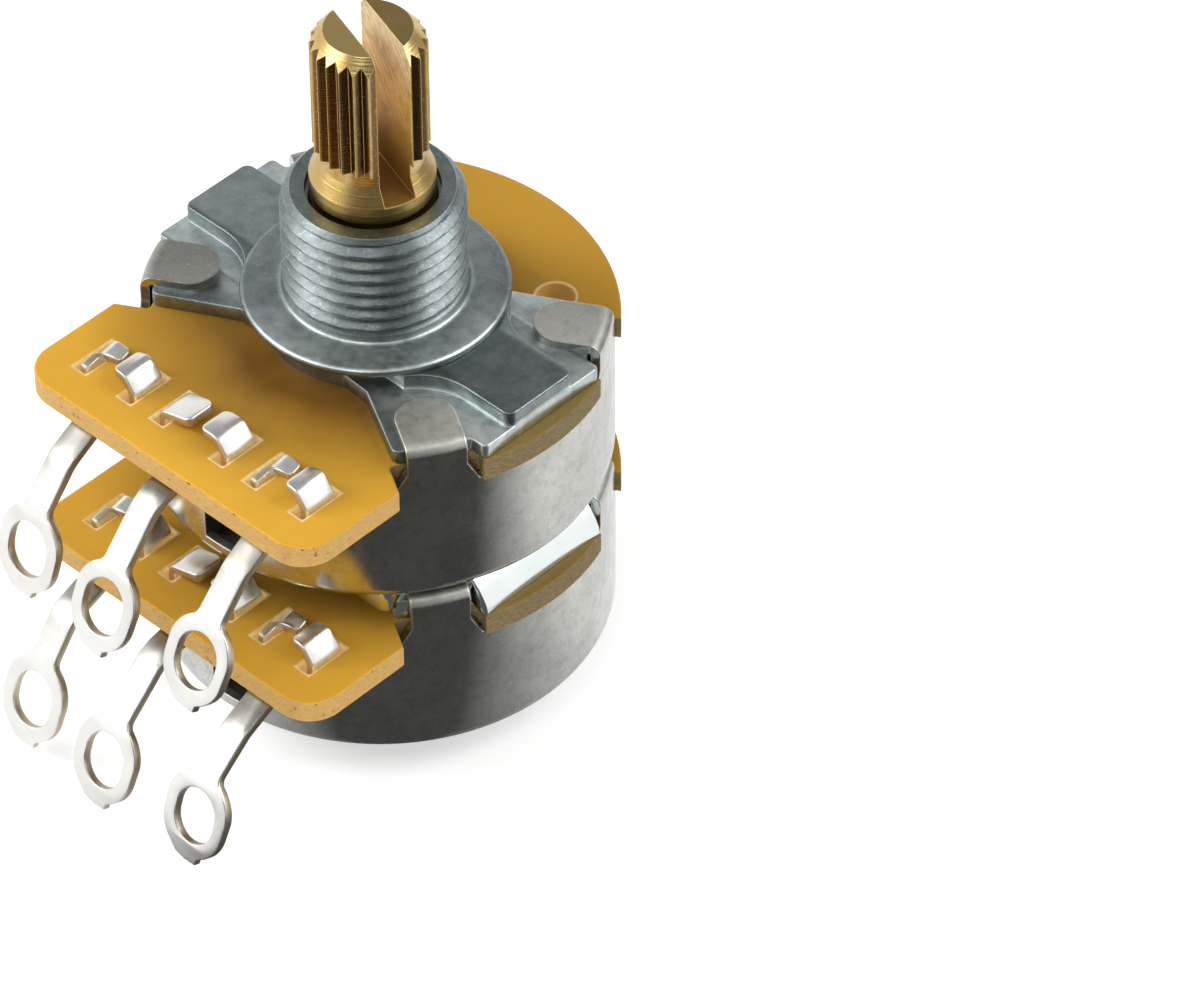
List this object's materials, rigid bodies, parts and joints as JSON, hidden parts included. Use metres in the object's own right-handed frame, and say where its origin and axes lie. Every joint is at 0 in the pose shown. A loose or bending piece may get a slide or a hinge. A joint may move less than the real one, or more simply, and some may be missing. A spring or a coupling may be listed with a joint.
{
  "type": "rotary potentiometer",
  "caption": "Dual-gang rotary potentiometer with knurled split shaft, threaded panel bushing on a bow-tie plate, stacked steel cups and solder eyelet terminals.",
  "frame": {"origin": "shaft axis at the flange face that seats on the panel", "axes": "+Z along the shaft towards its tip, -Y towards the solder terminals, +X to the right seen from the terminals"},
  "size_m": [0.0248, 0.0336, 0.0391],
  "materials": {
    "turned_brass": "turned and rolled",
    "spring_steel": "blued",
    "zinc_casting": "satin zinc plate",
    "phenolic_board": "punched board",
    "carbon_film": "printed film",
    "silver_film": "printed film",
    "tinned_brass": "bright tin plate",
    "moulded_phenolic": "moulded",
    "spring_bronze": "rolled",
    "drawn_steel": "nickel plate over drawn steel",
    "zinc_plated_steel": "bright zinc plate"
  },
  "bodies": {
    "housing": {"bushing_plate": "zinc_casting", "front_wafer": "phenolic_board", "front_track": "carbon_film", "front_collector": "silver_film", "front_terminal_left": "tinned_brass", "front_terminal_middle": "tinned_brass", "front_terminal_right": "tinned_brass", "front_cup": "drawn_steel", "rear_plate": "zinc_plated_steel", "rear_wafer": "phenolic_board", "rear_track": "carbon_film", "rear_collector": "silver_film", "rear_terminal_left": "tinned_brass", "rear_terminal_middle": "tinned_brass", "rear_terminal_right": "tinned_brass", "rear_cup": "drawn_steel"},
    "spindle": {"shaft": "turned_brass", "retaining_ring": "spring_steel", "front_rotor": "moulded_phenolic", "front_wiper": "spring_bronze", "rear_rotor": "moulded_phenolic", "rear_wiper": "spring_bronze"}
  },
  "joints": [
    {"name": "shaft_turn", "type": "hinge", "parent": "housing", "child": "spindle", "pos_m": [0, 0, 0], "axis": [0, 0, 1], "range_deg": [-150, 150]}
  ]
}
